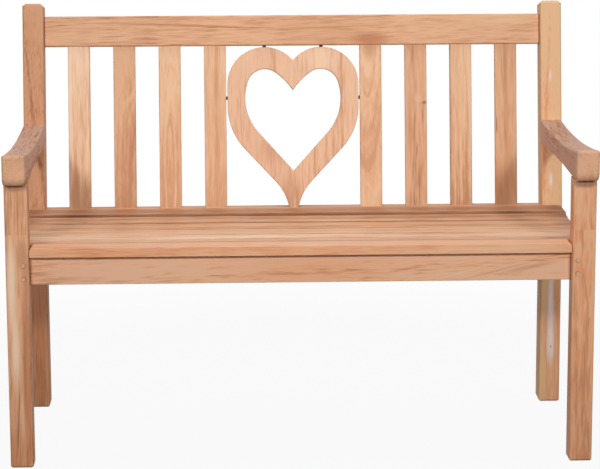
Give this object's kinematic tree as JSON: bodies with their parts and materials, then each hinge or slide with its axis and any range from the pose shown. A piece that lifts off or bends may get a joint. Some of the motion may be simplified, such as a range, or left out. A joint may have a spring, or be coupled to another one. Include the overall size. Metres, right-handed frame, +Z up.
{
  "type": "garden bench",
  "caption": "Teak garden bench for two with arm rests, a dished slatted seat, and a leaning slatted back with an open heart between the slats.",
  "frame": {"origin": "on the floor under the middle of the bench's bounding box", "axes": "+Z up; the sitter faces -Y; +X to the right seen from the front"},
  "size_m": [1.2008, 0.6502, 0.9025],
  "materials": {
    "teak": "raw sanded teak, unoiled",
    "teak_dowel": "round teak pegs, cut and sanded end grain",
    "screw_steel": "plain stainless steel"
  },
  "bodies": {
    "root": {"arm_left": "teak", "arm_pegs": "teak_dowel", "arm_right": "teak", "back_lower_rail": "teak", "back_rail_pegs": "teak_dowel", "back_slat_1": "teak", "back_slat_2": "teak", "back_slat_3": "teak", "back_slat_4": "teak", "back_slat_5": "teak", "back_slat_6": "teak", "back_slat_7": "teak", "back_slat_8": "teak", "back_top_rail": "teak", "centre_seat_bearer": "teak", "front_leg_left": "teak", "front_leg_right": "teak", "front_rail_pegs": "teak_dowel", "front_seat_rail": "teak", "heart_joint_dowels": "teak_dowel", "heart_left_half": "teak", "heart_pins": "teak_dowel", "heart_right_half": "teak", "rear_leg_left": "teak", "rear_leg_right": "teak", "seat_screws": "screw_steel", "seat_slat_1": "teak", "seat_slat_2": "teak", "seat_slat_3": "teak", "seat_slat_4": "teak", "seat_slat_5": "teak", "seat_slat_6": "teak", "seat_slat_7": "teak", "side_rail_pegs": "teak_dowel", "side_seat_rail_left": "teak", "side_seat_rail_right": "teak"}
  },
  "joints": []
}
